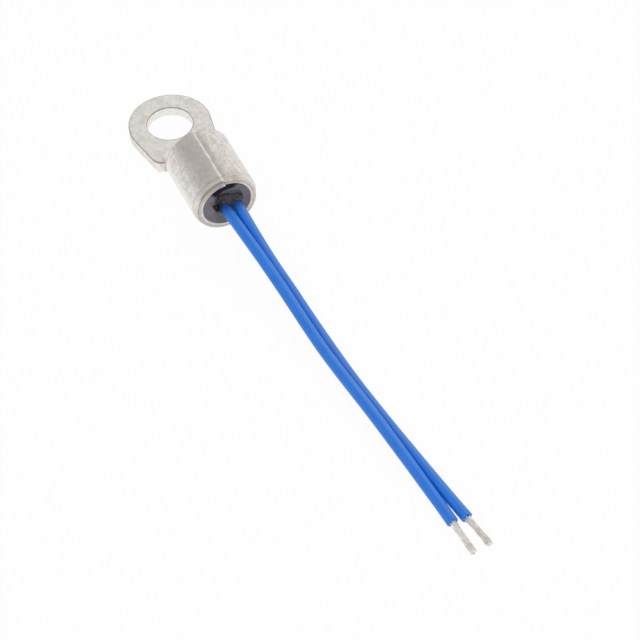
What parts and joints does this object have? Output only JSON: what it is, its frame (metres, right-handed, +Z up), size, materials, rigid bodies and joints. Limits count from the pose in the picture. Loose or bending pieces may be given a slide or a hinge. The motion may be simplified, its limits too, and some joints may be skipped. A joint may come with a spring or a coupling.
{
  "type": "ring lug thermistor",
  "caption": "Temperature probe: a negative temperature coefficient chip potted in the rolled barrel of a tinned copper ring lug, with a pair of insulated leads.",
  "frame": {"origin": "centre of the stud hole at the tongue's underside", "axes": "+X along the barrel towards the leads, +Z up through the stud hole, +Y to the left of the leads' direction"},
  "size_m": [0.0619, 0.0092, 0.0063],
  "materials": {
    "tinned_copper": "matt tin plate with a fine speckle",
    "potting_resin": "glossy black casting resin",
    "coating_resin": "rough black dip coating",
    "oxide_ceramic": "sintered metal oxide",
    "fired_silver": "fired silver paste",
    "solder": "bright solder",
    "tinned_strand": "tinned copper strands",
    "blue_insulation": "extruded blue polymer with a satin face"
  },
  "bodies": {
    "root": {"ring_lug": "tinned_copper", "potting": "potting_resin", "bead_coating": "coating_resin", "ntc_chip": "oxide_ceramic", "electrode_a": "fired_silver", "electrode_b": "fired_silver", "solder_joint_a": "solder", "solder_joint_b": "solder", "conductor_a": "tinned_strand", "conductor_b": "tinned_strand", "lead_insulation_a": "blue_insulation", "lead_insulation_b": "blue_insulation"}
  },
  "joints": []
}
